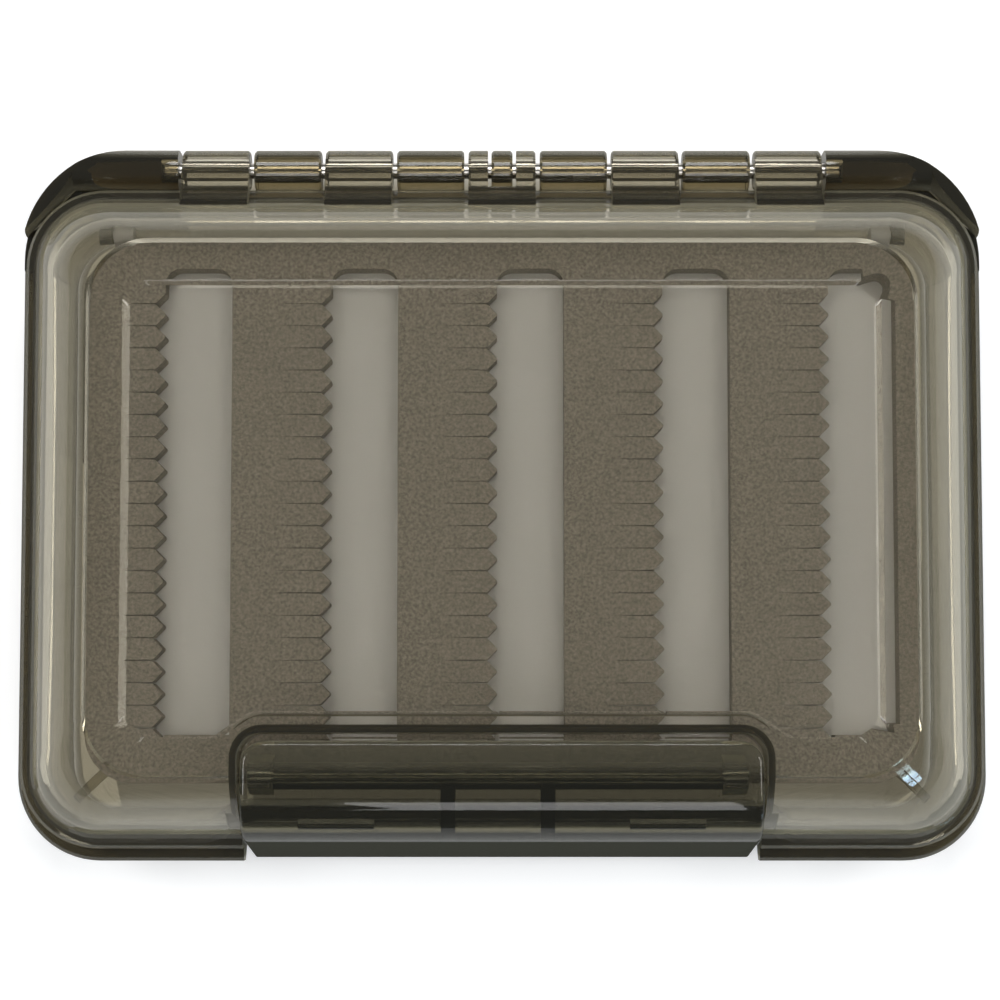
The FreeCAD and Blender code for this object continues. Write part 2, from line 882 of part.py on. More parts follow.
def latch_lip(inner):
    """Hook along the foot of the flap that snaps under the keeper."""
    foot = inner[4]
    lean = math.radians(90 - latch_face_angle)
    up = Vector(0, math.sin(lean), math.cos(lean))
    inward = Vector(0, math.cos(lean), -math.sin(lean))
    start = foot - inward * latch_wall / 2
    points = [
        start,
        foot + inward * latch_lip_depth + up * latch_lip_height / 3,
        foot + inward * latch_lip_depth + up * latch_lip_height * 2 / 3,
        start + up * (latch_lip_height + latch_wall / 2),
    ]
    return side_profile([(p.y, p.z) for p in points], -keeper_half_length, keeper_half_length)


def latch_rib(centre, inner):
    """Upright rib from the barrel down the inside of the face."""
    foot = inner[4]
    bend = inner[3]
    back = latch_rib_depth
    points = [
        (-latch_pivot_y, latch_pivot_z - latch_barrel_radius / 2),
        (-latch_pivot_y, latch_rear_z - latch_wall / 2),
        (inner[1].y, inner[1].z + latch_wall / 2),
        (inner[2].y - latch_wall / 3, inner[2].z + latch_wall / 3),
        (bend.y - latch_wall / 2, bend.z),
        (foot.y - latch_wall / 2, foot.z + latch_rib_foot),
        (foot.y + back, foot.z + latch_rib_foot + back),
        (-slot_front - clearance, rim_top),
        (-slot_front - clearance, pocket_floor + clearance),
    ]
    return side_profile(points, centre - latch_rib_width / 2, centre + latch_rib_width / 2)


def latch_core(centre, inner):
    """Moulding pocket in the inside of the face, seen as a lighter bar."""
    low = latch_bend_z - latch_core_drop - latch_core_height
    depth = latch_core_depth
    middle = inner[2]
    return block(
        centre - latch_core_length / 2,
        centre + latch_core_length / 2,
        middle.y - depth,
        middle.y + latch_wall,
        low,
        low + latch_core_height,
    )


def window_centres():
    return [window_first_x + index * window_pitch for index in range(window_count)]


def plain_window(centre):
    """Closed wire of a film's window, a little larger than the foam's."""
    reach = window_width / 2 + adhesive_inset
    rear = window_rear + adhesive_inset
    front = -window_front - adhesive_inset
    corners = [(-reach, front), (reach, front), (reach, rear), (-reach, rear), (-reach, front)]
    return Part.makePolygon([Vector(centre + x, y, 0) for x, y in corners])


def toothed_window(centre):
    """Closed wire of one foam window: straight right edge, notched left edge."""
    right = centre + window_width / 2
    crest = centre - window_width / 2 + tooth_depth / 2
    valley = crest - tooth_depth
    left_start, left_arc, left_end = quarter_turn(crest, window_rear, window_rear_radius, -1, -1)
    points = [left_end]
    for index in range(tooth_count):
        y = tooth_first_y - index * tooth_pitch
        points.append(Vector(crest, y + tooth_pitch / 2, 0))
        points.append(Vector(valley, y, 0))
    points.append(Vector(crest, tooth_first_y - (tooth_count - 1 / 2) * tooth_pitch, 0))
    points.append(Vector(crest + window_radius, -window_front, 0))
    edges = [Part.makeLine(start, end) for start, end in zip(points, points[1:])]
    front_start, front_arc, front_end = quarter_turn(right, -window_front, window_radius, 1, 1)
    rear_end, rear_arc, rear_start = quarter_turn(right, window_rear, window_rear_radius, 1, -1)
    edges.extend(
        [
            Part.makeLine(points[-1], front_start),
            front_arc,
            Part.makeLine(front_end, rear_start),
            rear_arc,
            Part.makeLine(rear_end, left_start),
            left_arc,
        ]
    )
    return Part.Wire(edges)


def quarter_turn(x, y, radius, side, inward):
    """Arc at a window's corner (x, y): its end on the cross edge, the arc, its end on the side edge."""
    middle = radius * (1 - 1 / math.sqrt(2))
    cross = Vector(x - side * radius, y, 0)
    along = Vector(x, y + inward * radius, 0)
    arc = Part.Arc(cross, Vector(x - side * middle, y + inward * middle, 0), along).toShape()
    return cross, arc, along


def sheet_with_windows(z, thickness, inset, window):
    plan = box_corners(
        leaf_half_width - inset,
        leaf_front - inset,
        leaf_rear - inset,
        leaf_front_corner_radius,
        leaf_corner_radius,
    )
    face = Part.Face(rounded_wire(plan, 0))
    for centre in window_centres():
        face = face.cut(Part.Face(window(centre)))
    sheet = face.extrude(Vector(0, 0, thickness))
    sheet.translate(Vector(0, 0, z))
    return sheet


def leaf_plate():
    plan = box_corners(
        leaf_half_width - adhesive_thickness,
        leaf_front - adhesive_thickness,
        leaf_rear - adhesive_thickness,
        leaf_front_corner_radius,
        leaf_corner_radius,
    )
    plate = prism(rounded_wire(plan, leaf_plate_bottom), leaf_plate_thickness)
    parts = [plate]
    plate_top = leaf_plate_bottom + leaf_plate_thickness
    for low, high in mirrored_span(leaf_eye_x, leaf_eye_x + leaf_eye_width):
        parts.append(rod(low, high, leaf_axis_y, leaf_axis_z, leaf_eye_radius))
        points = [
            (leaf_rear - leaf_corner_radius / 2, leaf_plate_bottom),
            (leaf_axis_y, leaf_plate_bottom),
            (leaf_axis_y + leaf_eye_radius, leaf_axis_z),
            (leaf_axis_y - leaf_eye_radius, leaf_axis_z),
            (leaf_rear, plate_top),
            (leaf_rear - leaf_corner_radius / 2, plate_top),
        ]
        parts.append(side_profile(points, low, high))
    trunnion_reach = ear_inner_x() + ear_width
    for low, high in mirrored_span(leaf_eye_x + leaf_eye_width / 2, trunnion_reach):
        parts.append(rod(low, high, leaf_axis_y, leaf_axis_z, leaf_trunnion_radius))
    return fuse_all(parts)


def film(z):
    return sheet_with_windows(z, adhesive_thickness, adhesive_inset, plain_window)


def foam(z):
    return sheet_with_windows(z, foam_thickness, 0, toothed_window)


plate_top = leaf_plate_bottom + leaf_plate_thickness
pieces = {
    "base_shell": base_shell(),
    "hinge_pin": hinge_pin(),
    "gasket": gasket(),
    "lid_shell": lid_shell(),
    "latch_pin": latch_pin(),
    "latch_flap": latch_flap(),
    "leaf_plate": leaf_plate(),
    "leaf_adhesive_upper": film(plate_top),
    "leaf_foam_upper": foam(plate_top + adhesive_thickness),
    "leaf_adhesive_lower": film(leaf_plate_bottom - adhesive_thickness),
    "leaf_foam_lower": foam(leaf_plate_bottom - adhesive_thickness - foam_thickness),
    "base_foam_adhesive": film(floor_thickness),
    "base_foam": foam(floor_thickness + adhesive_thickness),
}

os.makedirs("parts", exist_ok=True)
for name, shape in pieces.items():
    piece = solid_of(shape)
    box = piece.optimalBoundingBox()
    print(name, "solids", len(shape.Solids), "valid", piece.isValid(), "volume", round(piece.Volume, 1))
    print("   box", [round(v, 2) for v in (box.XMin, box.YMin, box.ZMin, box.XMax, box.YMax, box.ZMax)])
    piece.exportStep("parts/" + name + ".step")
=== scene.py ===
import math

import bmesh
import bpy
from bpy.props import FloatProperty, FloatVectorProperty, IntProperty, PointerProperty
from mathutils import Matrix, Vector


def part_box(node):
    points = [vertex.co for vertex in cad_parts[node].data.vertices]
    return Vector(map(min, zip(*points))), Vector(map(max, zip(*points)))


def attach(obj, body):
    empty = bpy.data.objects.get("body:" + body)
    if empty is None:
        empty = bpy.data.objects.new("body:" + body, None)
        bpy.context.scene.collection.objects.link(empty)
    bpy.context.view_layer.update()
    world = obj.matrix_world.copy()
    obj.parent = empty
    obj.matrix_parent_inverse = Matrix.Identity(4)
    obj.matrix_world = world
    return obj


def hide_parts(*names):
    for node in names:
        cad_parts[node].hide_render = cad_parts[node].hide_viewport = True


bl_info = {
    "name": "Fly box dressing",
    "version": (1, 0, 0),
    "blender": (4, 5, 0),
    "location": "View3D > Sidebar > Fly box",
    "description": "Dresses the smoke-plastic fly box: case, latch, hinge, swing leaf and slit foam",
    "category": "Object",
}

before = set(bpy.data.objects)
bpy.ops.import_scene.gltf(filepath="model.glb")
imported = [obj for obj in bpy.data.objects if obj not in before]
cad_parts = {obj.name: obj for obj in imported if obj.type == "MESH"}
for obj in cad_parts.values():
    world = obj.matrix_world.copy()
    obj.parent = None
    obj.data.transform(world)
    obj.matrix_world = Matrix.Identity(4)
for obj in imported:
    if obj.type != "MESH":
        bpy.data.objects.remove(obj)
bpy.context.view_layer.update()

MM = 0.001
WHITE = (1.0, 1.0, 1.0, 1.0)

# Foam sheet, measured from its box
FIRST_WINDOW_MARGIN = 16.65 * MM
LAST_WINDOW_MARGIN = 8.55 * MM
WINDOW_FRONT_MARGIN = 7.4 * MM
WINDOW_REAR_MARGIN = 4.1 * MM
FIRST_TOOTH_MARGIN = 5.5 * MM
LAST_TOOTH_MARGIN = 1.08 * MM
SHEET_REAR_RADIUS = 8.5 * MM
SHEET_FRONT_RADIUS = 7.5 * MM
WINDOW_REAR_RADIUS = 2.5 * MM
FOAM_EDGE_BREAK = 0.18 * MM
FOAM_EDGE_ANGLE = math.radians(40)
SLIT_MOUTH_HALF = 0.1 * MM
NOTCH_HALF_SHARE = 0.56
SHEET_CORNER_STEPS = 10
WINDOW_CORNER_STEPS = 6
EDGE_BREAK_STEPS = 2

# Clear plastic
PLASTIC_IOR = 1.45
MARK_SIZE = 6 * MM
WAVE_SIZE = 22 * MM
WAVE_HEIGHT = 0.008 * MM
SMOOTH_ANGLE = math.radians(24)
SLANT_START = 0.2

# Grained face of the latch, its near black partly painted shade
GRAINED_DARK_WITH_PAINTED_SHADE = (0.022, 0.022, 0.017, 1.0)
GRAINED_SHINE = 0.05
GRAIN_SIZE = 0.45 * MM
GRAIN_HEIGHT = 0.12 * MM
LATCH_GLOSS = 0.02

# Opaque finishes: pattern sizes, heights and pairs of colours
STEELS_WITH_PAINTED_SHADE = (
    ("hinge_pin", (0.50, 0.48, 0.44), (0.72, 0.69, 0.65)),
    # The latch pin's steel is painted about three times darker than the hinge pin's: painted shade, for the
    # pin sitting inside the latch.
    ("latch_pin", (0.16, 0.155, 0.14), (0.24, 0.23, 0.21)),
)
DRAWN_SIZE = 0.4 * MM
SEAL_COLOURS = (0.045, 0.045, 0.045), (0.075, 0.074, 0.07)
SEAL_ROUGHNESS = 0.62
SEAL_SIZE = 0.5 * MM
SEAL_HEIGHT = 0.03 * MM
LEAF_COLOURS = (0.78, 0.77, 0.77), (0.82, 0.81, 0.81)
CLOUD_SIZE = 18 * MM
SATIN_SIZE = 0.35 * MM
FINE_HEIGHT = 0.02 * MM
FILM_COLOURS = (0.66, 0.64, 0.58), (0.76, 0.74, 0.68)
STREAK_SIZE = 3 * MM
SPECKLE_SIZE = 0.5 * MM
SPECKLE_HEIGHT = 0.08 * MM
SPECKLE_DARK_SHARE = 0.66
SPECKLE_LIGHT_SHARE = 1.34
FOAM_ROUGHNESS = 0.85
FOAM_SHINE = 0.25

# Stage, in metres and watts
FLOOR_SIZE = 4.0
FLOOR_WHITE = (0.9, 0.9, 0.9, 1.0)
FLOOR_ROUGHNESS = 0.9
SOFT_LAMPS = (
    ("soft_right", (0.50, 0.05, 0.95), 3.6),
    ("soft_left", (-0.50, 0.05, 0.95), 3.6),
    ("soft_rear", (0.0, 0.58, 0.95), 3.4),
    ("soft_front", (0.0, -0.55, 0.95), 1.8),
)
SOFT_LAMP_SIZE = 0.36
WINDOW_PLACE = (0.80, -0.80, 0.42)
WINDOW_AIM = (0.0, 0.0, 0.02)
PANE_SIZE = 0.1
PANE_GAP = 0.02
PANE_POWER = 0.6
PANE_BLUE = (0.55, 0.78, 1.0)
SENSOR_WIDTH = 36.0
SHIFT_X = -0.002
SHIFT_Y = 0.004
TARGET_HEIGHT = 20.0 * MM
CAMERA_DISTANCE = 437.0 * MM
CAMERA_TILT = math.radians(85.4)


class CaseFinish(bpy.types.PropertyGroup):
    """Clear smoke moulding of the base and the lid."""

    tint: FloatVectorProperty(
        name="Smoke tint",
        description="Colour that the plastic lets through",
        default=(0.72, 0.685, 0.58),
        min=0.0,
        max=1.0,
        subtype="COLOR",
    )
    depth: FloatProperty(
        name="Lid smoke", description="Absorption per metre of the lid's plastic", default=400.0
    )
    # The base's plastic absorbs more than three times as much as the lid's: painted shade for the shadowed
    # floor seen through the base.
    base_shaded_depth: FloatProperty(
        name="Base smoke with painted shade", description="Absorption per metre of the base's plastic", default=1350.0
    )
    gloss: FloatProperty(
        name="Surface roughness", description="Roughness of the polished faces", default=0.012
    )
    haze: FloatProperty(
        name="Haze", description="Share of light that each face scatters, seen squarely", default=0.05
    )
    slant_haze: FloatProperty(
        name="Slant haze", description="Share that is added when seen edge-on", default=0.7
    )
    haze_colour: FloatVectorProperty(
        name="Haze colour",
        description="Colour of the scattered light",
        default=(0.30, 0.28, 0.20),
        min=0.0,
        max=1.0,
        subtype="COLOR",
    )


class LatchFinish(bpy.types.PropertyGroup):
    """Darker moulding of the front latch."""

    tint: FloatVectorProperty(
        name="Smoke tint",
        description="Colour that the latch lets through",
        default=(0.62, 0.60, 0.50),
        min=0.0,
        max=1.0,
        subtype="COLOR",
    )
    haze_colour: FloatVectorProperty(
        name="Haze colour",
        description="Colour of the light that the latch scatters",
        default=(0.06, 0.06, 0.043),
        min=0.0,
        max=1.0,
        subtype="COLOR",
    )
    # On the strip of the latch's top behind its pin the scattered colour is far paler: painted light, for
    # light shining through and glancing off the top.
    rear_painted_light_colour: FloatVectorProperty(
        name="Rear painted light colour",
        description="The same on the strip behind the latch's pin",
        default=(0.28, 0.26, 0.18),
        min=0.0,
        max=1.0,
        subtype="COLOR",
    )
    haze: FloatProperty(
        name="Haze", description="Share of light that each face scatters, seen squarely", default=0.13
    )
    rear_start: FloatProperty(
        name="Rear strip start",
        description="Where the paler strip starts, along Y",
        default=-41.3 * MM,
        subtype="DISTANCE",
        unit="LENGTH",
    )
    depth: FloatProperty(
        name="Latch smoke", description="Absorption per metre of the plastic", default=950.0
    )
    grip_top: FloatProperty(
        name="Grained face top",
        description="Height above which the latch is polished and below which it is finely grained",
        default=32.5 * MM,
        subtype="DISTANCE",
        unit="LENGTH",
    )


class FoamSizes(bpy.types.PropertyGroup):
    """Slit foam sheets, glued to the base floor and to both faces of the leaf."""

    colour: FloatVectorProperty(
        name="Foam colour",
        description="Colour of the closed-cell foam",
        default=(0.325, 0.288, 0.245),
        min=0.0,
        max=1.0,
        subtype="COLOR",
    )
    window_count: IntProperty(name="Windows", description="Long openings in each sheet", default=5)
    tooth_count: IntProperty(name="Teeth", description="Notches along one edge of each window", default=20)
    window_width: FloatProperty(
        name="Window width",
        description="Width of each window between its crests and its plain edge",
        default=11.2 * MM,
        subtype="DISTANCE",
        unit="LENGTH",
    )
    tooth_depth: FloatProperty(
        name="Tooth depth",
        description="Depth of each notch",
        default=1.5 * MM,
        subtype="DISTANCE",
        unit="LENGTH",
    )
    slit_length: FloatProperty(
        name="Slit length",
        description="Length of the cut behind each notch",
        default=8.0 * MM,
        subtype="DISTANCE",
        unit="LENGTH",
    )


class StageLook(bpy.types.PropertyGroup):
    """Camera, lamps and floor."""

    lens: FloatProperty(name="Lens", description="Focal length in millimetres", default=100.0)
    sky: FloatProperty(name="Room light", description="Strength of the plain room light", default=0.16)
    glow: FloatProperty(
        name="Floor glow", description="Share of white that the floor always shows", default=0.32
    )


# Small builders for materials


def new_material(name):
    material = bpy.data.materials.new(name)
    material.use_nodes = True
    tree = material.node_tree
    shader = tree.nodes["Principled BSDF"]
    return material, tree, shader


def add_node(tree, kind, **inputs):
    node = tree.nodes.new(kind)
    for key, value in inputs.items():
        node.inputs[key.replace("_", " ").title()].default_value = value
    return node


def object_point(tree, stretch=(1.0, 1.0, 1.0)):
    """Object coordinates, stretched along the axes."""
    coordinates = tree.nodes.new("ShaderNodeTexCoord")
    mapping = tree.nodes.new("ShaderNodeMapping")
    mapping.inputs["Scale"].default_value = stretch
    tree.links.new(coordinates.outputs["Object"], mapping.inputs["Vector"])
    return mapping.outputs["Vector"]


def noise(tree, size, detail=3.0, roughness=0.5, stretch=(1.0, 1.0, 1.0)):
    """Noise whose grain is about size metres."""
    node = add_node(tree, "ShaderNodeTexNoise", scale=1.0 / size, detail=detail, roughness=roughness)
    tree.links.new(object_point(tree, stretch), node.inputs["Vector"])
    return node.outputs["Fac"]


def spread(tree, factor, low, high, from_low=0.3, from_high=0.7):
    """Maps a factor to a range of values."""
    node = tree.nodes.new("ShaderNodeMapRange")
    node.inputs["From Min"].default_value = from_low
    node.inputs["From Max"].default_value = from_high
    node.inputs["To Min"].default_value = low
    node.inputs["To Max"].default_value = high
    tree.links.new(factor, node.inputs["Value"])
    return node.outputs["Result"]


def blend_colours(tree, factor, first, second):
    node = tree.nodes.new("ShaderNodeMix")
    node.data_type = "RGBA"
    node.inputs["A"].default_value = (*first, 1.0)
    node.inputs["B"].default_value = (*second, 1.0)
    tree.links.new(factor, node.inputs["Factor"])
    return node.outputs["Result"]


def add_bump(tree, shader, height, distance):
    bump = add_node(tree, "ShaderNodeBump", strength=1.0, distance=distance)
    tree.links.new(height, bump.inputs["Height"])
    tree.links.new(bump.outputs["Normal"], shader.inputs["Normal"])


def smoke(tree, tint, depth):
    """Colours light by how far it runs through the plastic."""
    absorb = tree.nodes.new("ShaderNodeVolumeAbsorption")
    absorb.inputs["Color"].default_value = (*tint, 1.0)
    absorb.inputs["Density"].default_value = depth
    output = tree.nodes["Material Output"]
    tree.links.new(absorb.outputs["Volume"], output.inputs["Volume"])


def clear_plastic(name, tint, depth, low_gloss, high_gloss):
    """Polished clear moulding with faint flow waves and handling marks."""
    material, tree, shader = new_material(name)
    shader.inputs["Base Color"].default_value = WHITE
    shader.inputs["Transmission Weight"].default_value = 1.0
    shader.inputs["IOR"].default_value = PLASTIC_IOR
    marks = noise(tree, MARK_SIZE, detail=5.0, roughness=0.6)
    tree.links.new(spread(tree, marks, low_gloss, high_gloss, 0.4, 0.75), shader.inputs["Roughness"])
    waves = noise(tree, WAVE_SIZE, detail=1.0)
    add_bump(tree, shader, waves, WAVE_HEIGHT)
    smoke(tree, tint, depth)
    return material


def grain_face(material, top):
    """Below the height top the surface is finely grained, as from an etched mould, and near black: dark
    smoke plastic, darkened further as painted shade on the steep front face.
    """
    tree = material.node_tree
    clear = tree.nodes["Principled BSDF"]
    etched = tree.nodes.new("ShaderNodeBsdfPrincipled")
    # Near-black base colour: the plastic's own darkness plus painted shade.
    etched.inputs["Base Color"].default_value = GRAINED_DARK_WITH_PAINTED_SHADE
    etched.inputs["Specular IOR Level"].default_value = GRAINED_SHINE
    grain = noise(tree, GRAIN_SIZE, detail=3.0, roughness=0.7)
    tree.links.new(spread(tree, grain, 0.55, 0.8), etched.inputs["Roughness"])
    add_bump(tree, etched, grain, GRAIN_HEIGHT)
    height = tree.nodes.new("ShaderNodeSeparateXYZ")
    tree.links.new(object_point(tree), height.inputs["Vector"])
    below = spread(tree, height.outputs["Z"], 1.0, 0.0, top - MM / 2, top + MM / 2)
    mix = tree.nodes.new("ShaderNodeMixShader")
    tree.links.new(below, mix.inputs["Fac"])
    tree.links.new(clear.outputs["BSDF"], mix.inputs[1])
    tree.links.new(etched.outputs["BSDF"], mix.inputs[2])
    tree.links.new(mix.outputs["Shader"], tree.nodes["Material Output"].inputs["Surface"])


def add_haze(material, share, slant_share, colour):
    """Scatters a share of the light at the surface, more at a slant. Returns the scattering node."""
    tree = material.node_tree
    surface = tree.nodes["Material Output"].inputs["Surface"]
    polished = surface.links[0].from_socket
    scatter = tree.nodes.new("ShaderNodeBsdfDiffuse")
    scatter.inputs["Color"].default_value = (*colour, 1.0)
    slant = add_node(tree, "ShaderNodeLayerWeight", blend=0.5)
    mix = tree.nodes.new("ShaderNodeMixShader")
    scattered = spread(tree, slant.outputs["Facing"], share, share + slant_share, SLANT_START, 1.0)
    tree.links.new(scattered, mix.inputs["Fac"])
    tree.links.new(polished, mix.inputs[1])
    tree.links.new(scatter.outputs["BSDF"], mix.inputs[2])
    tree.links.new(mix.outputs["Shader"], surface)
    return scatter


def dress(node_name, material):
    """Puts one material on a node of the frame."""
    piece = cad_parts[node_name]
    piece.data.materials.clear()
    piece.data.materials.append(material)
    return piece


def smooth_shading(angle):
    """Modifier tree that joins loose triangles and shades smoothly across edges flatter than the angle."""
    tree = bpy.data.node_groups.new("smooth_shading", "GeometryNodeTree")
    tree.interface.new_socket("Geometry", in_out="INPUT", socket_type="NodeSocketGeometry")
    tree.interface.new_socket("Geometry", in_out="OUTPUT", socket_type="NodeSocketGeometry")
    shape_in = tree.nodes.new("NodeGroupInput")
    shape_out = tree.nodes.new("NodeGroupOutput")
    join = tree.nodes.new("GeometryNodeMergeByDistance")
    join.inputs["Distance"].default_value = MM / 500
    smooth_faces = tree.nodes.new("GeometryNodeSetShadeSmooth")
    sharp_edges = tree.nodes.new("GeometryNodeSetShadeSmooth")
    sharp_edges.domain = "EDGE"
    sharp_edges.inputs["Shade Smooth"].default_value = False
    bend = tree.nodes.new("GeometryNodeInputMeshEdgeAngle")
    steep = tree.nodes.new("FunctionNodeCompare")
    steep.operation = "GREATER_THAN"
    steep.inputs["B"].default_value = angle
    tree.links.new(bend.outputs["Unsigned Angle"], steep.inputs["A"])
    tree.links.new(shape_in.outputs["Geometry"], join.inputs["Geometry"])
    tree.links.new(join.outputs["Geometry"], smooth_faces.inputs["Geometry"])
    tree.links.new(smooth_faces.outputs["Geometry"], sharp_edges.inputs["Geometry"])
    tree.links.new(steep.outputs["Result"], sharp_edges.inputs["Selection"])
    tree.links.new(sharp_edges.outputs["Geometry"], shape_out.inputs["Geometry"])
    return tree


def smooth(piece, shading):
    modifier = piece.modifiers.new("smooth_shading", "NODES")
    modifier.node_group = shading


# Small builders for shapes


def start_clean():
    if bpy.context.object is not None and bpy.context.object.mode != "OBJECT":
        bpy.ops.object.mode_set(mode="OBJECT")
    bpy.ops.object.select_all(action="DESELECT")


def make_active(piece):
    start_clean()
    bpy.context.view_layer.objects.active = piece
    piece.select_set(True)


def new_block(name, low, high):
    """Block between two corners, with its place in its mesh."""
    start_clean()
    low = Vector(low)
    high = Vector(high)
    bpy.ops.mesh.primitive_cube_add(size=1.0, location=(low + high) / 2)
    piece = bpy.context.object
    piece.name = name
    piece.scale = high - low
    bpy.ops.object.transform_apply(location=True, rotation=True, scale=True)
    return piece


def select_edges(piece, wanted):
    """Selects the edges whose two ends satisfy wanted, and leaves edit mode on."""
    make_active(piece)
    bpy.ops.object.mode_set(mode="EDIT")
    bpy.ops.mesh.select_mode(type="EDGE")
    bpy.ops.mesh.select_all(action="DESELECT")
    mesh = bmesh.from_edit_mesh(piece.data)
    for edge in mesh.edges:
        edge.select_set(wanted(edge.verts[0].co, edge.verts[1].co))
    bmesh.update_edit_mesh(piece.data)


def round_edges(piece, wanted, radius, segments):
    select_edges(piece, wanted)
    bpy.ops.mesh.bevel(offset=radius, segments=segments, affect="EDGES")
    bpy.ops.object.mode_set(mode="OBJECT")


def apply_modifier(piece, kind, **settings):
    make_active(piece)
    modifier = piece.modifiers.new(kind.title(), kind)
    for key, value in settings.items():
        setattr(modifier, key, value)
    bpy.ops.object.modifier_apply(modifier=modifier.name)


def cut_with(piece, cutter):
    apply_modifier(piece, "BOOLEAN", operation="DIFFERENCE", solver="EXACT", object=cutter)
    bpy.data.objects.remove(cutter)


def repeat(piece, count, step):
    apply_modifier(
        piece,
        "ARRAY",
        count=count,
        use_relative_offset=False,
        use_constant_offset=True,
        constant_offset_displace=step,
    )


def wedge(name, tip, mouth_x, mouth_half, low_z, high_z):
    """Upright wedge: an edge at tip (x, y) opening to a mouth at mouth_x."""
    piece = new_block(
        name,
        (min(tip[0], mouth_x), tip[1] - mouth_half, low_z),
        (max(tip[0], mouth_x), tip[1] + mouth_half, high_z),
    )
    make_active(piece)
    bpy.ops.object.mode_set(mode="EDIT")
    mesh = bmesh.from_edit_mesh(piece.data)
    for vert in mesh.verts:
        vert.select_set(abs(vert.co.x - tip[0]) < MM / 100)
    mesh.select_flush_mode()
    bpy.ops.transform.resize(value=(1.0, 0.02, 1.0), center_override=(tip[0], tip[1], 0.0))
    bpy.ops.object.mode_set(mode="OBJECT")
    return piece


def window_span(sizes, low, high):
    """First window centre and the step to the next, from the sheet's box."""
    first = low.x + FIRST_WINDOW_MARGIN
    last = high.x - LAST_WINDOW_MARGIN
    return first, (last - first) / (sizes.window_count - 1)


def foam_sheet(node_name, sizes):
    """One die-cut sheet: rounded outline, windows, notches with their slits."""
    low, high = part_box(node_name)
    sheet = new_block("sheet_" + node_name, low, high)
    middle = (low + high) / 2
    round_edges(
        sheet,
        lambda a, b: abs(a.z - b.z) > MM and a.y > middle.y,
        SHEET_REAR_RADIUS,
        SHEET_CORNER_STEPS,
    )
    round_edges(
        sheet,
        lambda a, b: abs(a.z - b.z) > MM
        and a.y < middle.y
        and abs(a.x - b.x) < MM / 10
        and min(abs(a.x - low.x), abs(a.x - high.x)) < MM / 10
        and abs(a.y - low.y) < MM / 10,
        SHEET_FRONT_RADIUS,
        SHEET_CORNER_STEPS,
    )
    first, step = window_span(sizes, low, high)
    front = low.y + WINDOW_FRONT_MARGIN
    rear = high.y - WINDOW_REAR_MARGIN
    below = low.z - MM
    above = high.z + MM
    half = sizes.window_width / 2
    crest = first - half + sizes.tooth_depth / 2
    window = new_block("window", (crest, front, below), (first + half, rear, above))
    round_edges(
        window,
        lambda a, b: abs(a.z - b.z) > MM and a.y > middle.y,
        WINDOW_REAR_RADIUS,
        WINDOW_CORNER_STEPS,
    )
    repeat(window, sizes.window_count, (step, 0.0, 0.0))
    cut_with(sheet, window)
    first_tooth = rear - FIRST_TOOTH_MARGIN
    pitch = (first_tooth - front - LAST_TOOTH_MARGIN) / (sizes.tooth_count - 1)
    notch = wedge(
        "notch",
        (crest - sizes.tooth_depth, first_tooth),
        crest + sizes.tooth_depth / 4,
        pitch * NOTCH_HALF_SHARE,
        below,
        above,
    )
    repeat(notch, sizes.tooth_count, (0.0, -pitch, 0.0))
    repeat(notch, sizes.window_count, (step, 0.0, 0.0))
    cut_with(sheet, notch)
    apply_modifier(
        sheet,
        "BEVEL",
        width=FOAM_EDGE_BREAK,
        segments=EDGE_BREAK_STEPS,
        limit_method="ANGLE",
        angle_limit=FOAM_EDGE_ANGLE,
    )
    slit_end = crest - sizes.tooth_depth - sizes.slit_length
    slit_mouth = crest - sizes.tooth_depth * 0.8
    slit = wedge("slit", (slit_end, first_tooth), slit_mouth, SLIT_MOUTH_HALF, below, above)
    repeat(slit, sizes.tooth_count, (0.0, -pitch, 0.0))
    repeat(slit, sizes.window_count, (step, 0.0, 0.0))
    cut_with(sheet, slit)
    return sheet


# Operators: one for each group of pieces


class FLYBOX_OT_case(bpy.types.Operator):
    """Gives the base and the lid their clear smoke plastic, the base's made denser as painted shade"""

    bl_idname = "flybox.case"
    bl_label = "Finish case"

    def execute(self, context):
        look = context.scene.flybox_case
        shading = smooth_shading(SMOOTH_ANGLE)
        for name, depth in (("lid_shell", look.depth), ("base_shell", look.base_shaded_depth)):
            plastic = clear_plastic(name + "_plastic", look.tint, depth, look.gloss, look.gloss * 2)
            add_haze(plastic, look.haze, look.slant_haze, look.haze_colour)
            smooth(dress(name, plastic), shading)
        return {"FINISHED"}


class FLYBOX_OT_latch(bpy.types.Operator):
    """Gives the latch its darker plastic, grained on its steep front face, with painted shade on that face
    and painted light on its top strip
    """

    bl_idname = "flybox.latch"
    bl_label = "Finish latch"

    def execute(self, context):
        look = context.scene.flybox_latch
        plastic = clear_plastic("latch_plastic", look.tint, look.depth, LATCH_GLOSS, LATCH_GLOSS * 3)
        grain_face(plastic, look.grip_top)
        scatter = add_haze(plastic, look.haze, context.scene.flybox_case.slant_haze, look.haze_colour)
        tree = plastic.node_tree
        place = tree.nodes.new("ShaderNodeSeparateXYZ")
        tree.links.new(object_point(tree), place.inputs["Vector"])
        # Paler scatter colour from rear_start rearwards: painted light on the latch's top strip.
        rear = spread(tree, place.outputs["Y"], 0.0, 1.0, look.rear_start - MM, look.rear_start + MM)
        colour = blend_colours(tree, rear, look.haze_colour, look.rear_painted_light_colour)
        tree.links.new(colour, scatter.inputs["Color"])
        smooth(dress("latch_flap", plastic), smooth_shading(SMOOTH_ANGLE))
        return {"FINISHED"}


